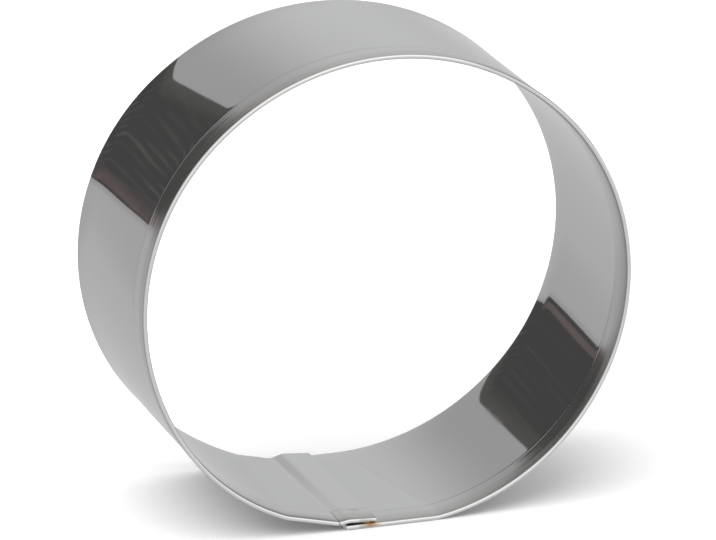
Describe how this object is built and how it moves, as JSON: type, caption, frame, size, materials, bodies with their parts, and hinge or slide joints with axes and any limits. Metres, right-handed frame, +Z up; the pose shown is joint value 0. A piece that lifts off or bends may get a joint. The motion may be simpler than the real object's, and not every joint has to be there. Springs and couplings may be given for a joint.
{
  "type": "biscuit cutter",
  "caption": "Round biscuit cutter: a ring of polished sheet steel with a folded pressing rim, a plain cutting edge and a spot-welded lap, standing on its side.",
  "frame": {"origin": "middle of the ring's width and depth, on the surface that it stands on", "axes": "+Z up; the ring's axis lies along Y, with the folded pressing rim at -Y and the cutting edge at +Y; the lap is at the foot"},
  "size_m": [0.0824, 0.035, 0.0776],
  "materials": {
    "sheet_steel": "bright polished stainless steel sheet",
    "weld": "fused steel with brown heat tint"
  },
  "bodies": {
    "root": {"ring_band": "sheet_steel", "rim_weld": "weld", "edge_weld": "weld"}
  },
  "joints": []
}
